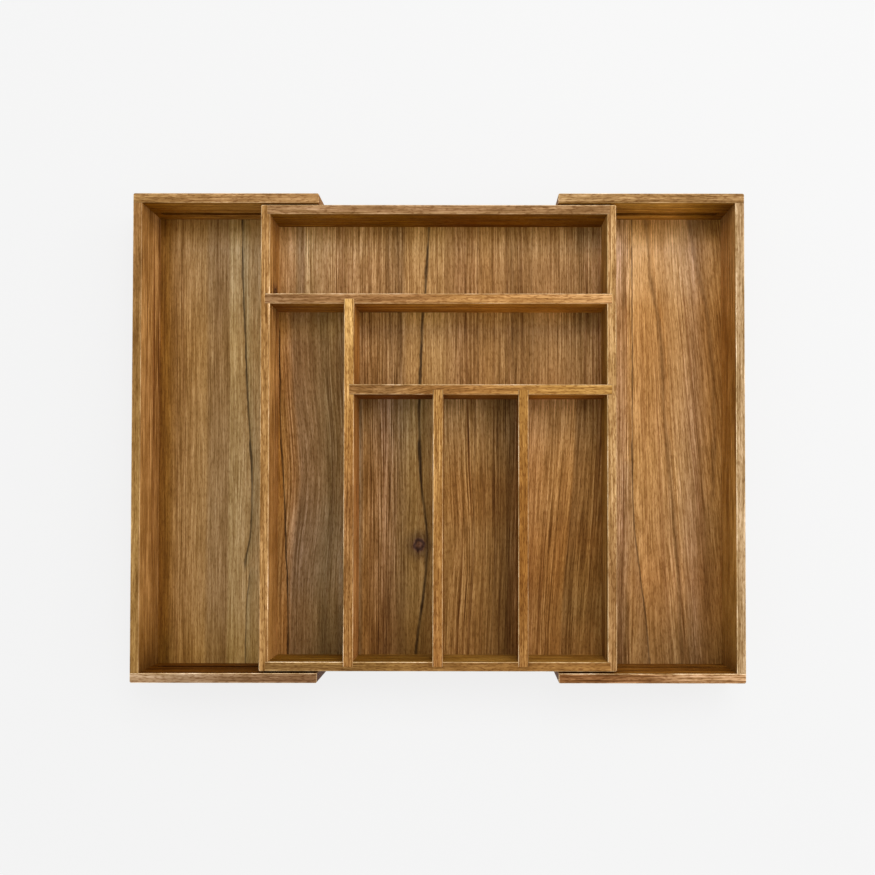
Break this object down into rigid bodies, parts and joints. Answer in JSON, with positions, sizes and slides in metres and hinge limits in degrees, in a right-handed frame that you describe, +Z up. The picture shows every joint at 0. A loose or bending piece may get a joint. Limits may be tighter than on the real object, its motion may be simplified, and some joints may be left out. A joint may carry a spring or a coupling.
{
  "type": "expandable utensil organiser",
  "caption": "Expandable wooden drawer organiser: a divided centre tray between two outer trays that slide in and out on grooved rails.",
  "frame": {"origin": "centre of the underside of the pulled-out organiser, on the plane that its rails stand on", "axes": "+X to the right along the pull-out direction, +Y to the back, +Z up"},
  "size_m": [0.5444, 0.435, 0.06],
  "materials": {
    "centre_wall_wood": "open-pored hardwood, satin oil, sanded edges",
    "divider_wood": "open-pored hardwood, satin oil, sanded edges",
    "rail_wood": "open-pored hardwood, satin oil, sanded edges",
    "side_wall_wood": "open-pored hardwood, satin oil, sanded edges",
    "runner_wood": "plain hardwood strip, waxed",
    "centre_floor_veneer": "straight-grained brown veneer with dark streaks, satin oil",
    "left_floor_veneer": "straight-grained olive brown veneer with one dark streak, satin oil",
    "right_floor_veneer": "golden veneer with cathedral figure, satin oil",
    "brad_steel": "dull bright steel"
  },
  "bodies": {
    "centre_tray": {"centre_left_wall": "centre_wall_wood", "centre_right_wall": "centre_wall_wood", "centre_back_wall": "centre_wall_wood", "centre_front_wall": "centre_wall_wood", "centre_floor_panel": "centre_floor_veneer", "long_cross_divider": "divider_wood", "lengthwise_divider": "divider_wood", "short_cross_divider": "divider_wood", "left_short_divider": "divider_wood", "right_short_divider": "divider_wood", "left_back_runner": "runner_wood", "left_front_runner": "runner_wood", "right_back_runner": "runner_wood", "right_front_runner": "runner_wood", "centre_corner_brads": "brad_steel", "divider_brads": "brad_steel"},
    "left_tray": {"left_back_rail": "rail_wood", "left_front_rail": "rail_wood", "left_side_wall": "side_wall_wood", "left_floor_panel": "left_floor_veneer", "left_tray_brads": "brad_steel"},
    "right_tray": {"right_back_rail": "rail_wood", "right_front_rail": "rail_wood", "right_side_wall": "side_wall_wood", "right_floor_panel": "right_floor_veneer", "right_tray_brads": "brad_steel"}
  },
  "joints": [
    {"name": "left_tray_slide", "type": "slide", "parent": "centre_tray", "child": "left_tray", "axis": [-1, 0, 0], "range_m": [-0.1057, 0]},
    {"name": "right_tray_slide", "type": "slide", "parent": "centre_tray", "child": "right_tray", "axis": [1, 0, 0], "range_m": [-0.1057, 0]}
  ]
}
